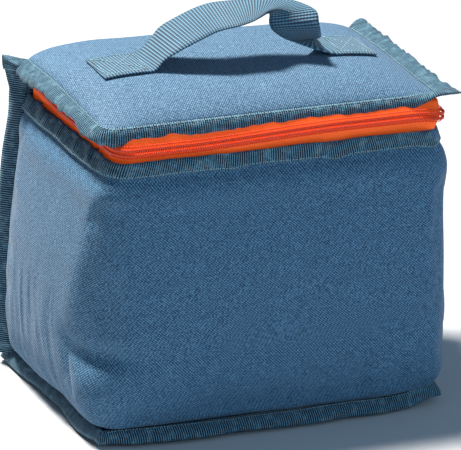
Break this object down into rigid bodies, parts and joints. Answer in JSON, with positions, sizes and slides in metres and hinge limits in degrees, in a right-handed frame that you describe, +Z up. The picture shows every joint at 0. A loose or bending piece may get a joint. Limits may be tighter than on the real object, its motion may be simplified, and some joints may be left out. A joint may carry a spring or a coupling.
{
  "type": "soft lunch cooler bag",
  "caption": "Soft insulated lunch bag with a zipped top lid that folds open at the back and a webbing carry handle.",
  "frame": {"origin": "centre of the bag's footprint, on the surface that it stands on", "axes": "+Z up, -Y towards the front, +X to the right of someone facing the front"},
  "size_m": [0.246, 0.1569, 0.2517],
  "materials": {
    "blue_cloth": "matte",
    "silver_lining": "satin",
    "foam": "matte",
    "binding_tape": "matte",
    "zip_tape": "matte",
    "zip_coil": "satin",
    "zinc": "satin",
    "webbing": "matte"
  },
  "bodies": {
    "bag": {"front_side_panel": "blue_cloth", "back_panel": "blue_cloth", "bottom_panel": "blue_cloth", "wall_lining": "silver_lining", "back_lining": "silver_lining", "bottom_lining": "silver_lining", "front_foam": "foam", "left_foam": "foam", "right_foam": "foam", "back_foam": "foam", "bottom_foam": "foam", "bottom_binding": "binding_tape", "rim_binding": "binding_tape", "left_back_binding": "binding_tape", "right_back_binding": "binding_tape", "lower_zip_tape": "zip_tape", "lower_zip_coil": "zip_coil"},
    "lid": {"lid_panel": "blue_cloth", "lid_foam": "foam", "lid_lining": "silver_lining", "lid_binding": "binding_tape", "upper_zip_tape": "zip_tape", "upper_zip_coil": "zip_coil", "handle_end_left": "webbing", "handle_end_right": "webbing", "hinge_fold": "blue_cloth"},
    "slider": {"zip_slider": "zinc"},
    "puller": {"zip_puller": "zinc"},
    "handle": {"handle_strap": "webbing"}
  },
  "joints": [
    {"name": "lid_hinge", "type": "hinge", "parent": "bag", "child": "lid", "pos_m": [0, 0.0645, 0.197], "axis": [-1, 0, 0], "range_deg": [0, 180], "deforming": ["hinge_fold"]},
    {"name": "handle_tilt", "type": "hinge", "parent": "lid", "child": "handle", "pos_m": [0, 0.002, 0.232], "axis": [1, 0, 0], "range_deg": [-97, 53]},
    {"name": "slider_travel", "type": "slide", "parent": "bag", "child": "slider", "axis": [0, -1, 0], "range_m": [0, 0.095]},
    {"name": "puller_swing", "type": "hinge", "parent": "slider", "child": "puller", "pos_m": [0.11198, 0.046, 0.189], "axis": [0, -1, 0], "range_deg": [0, 120]}
  ]
}
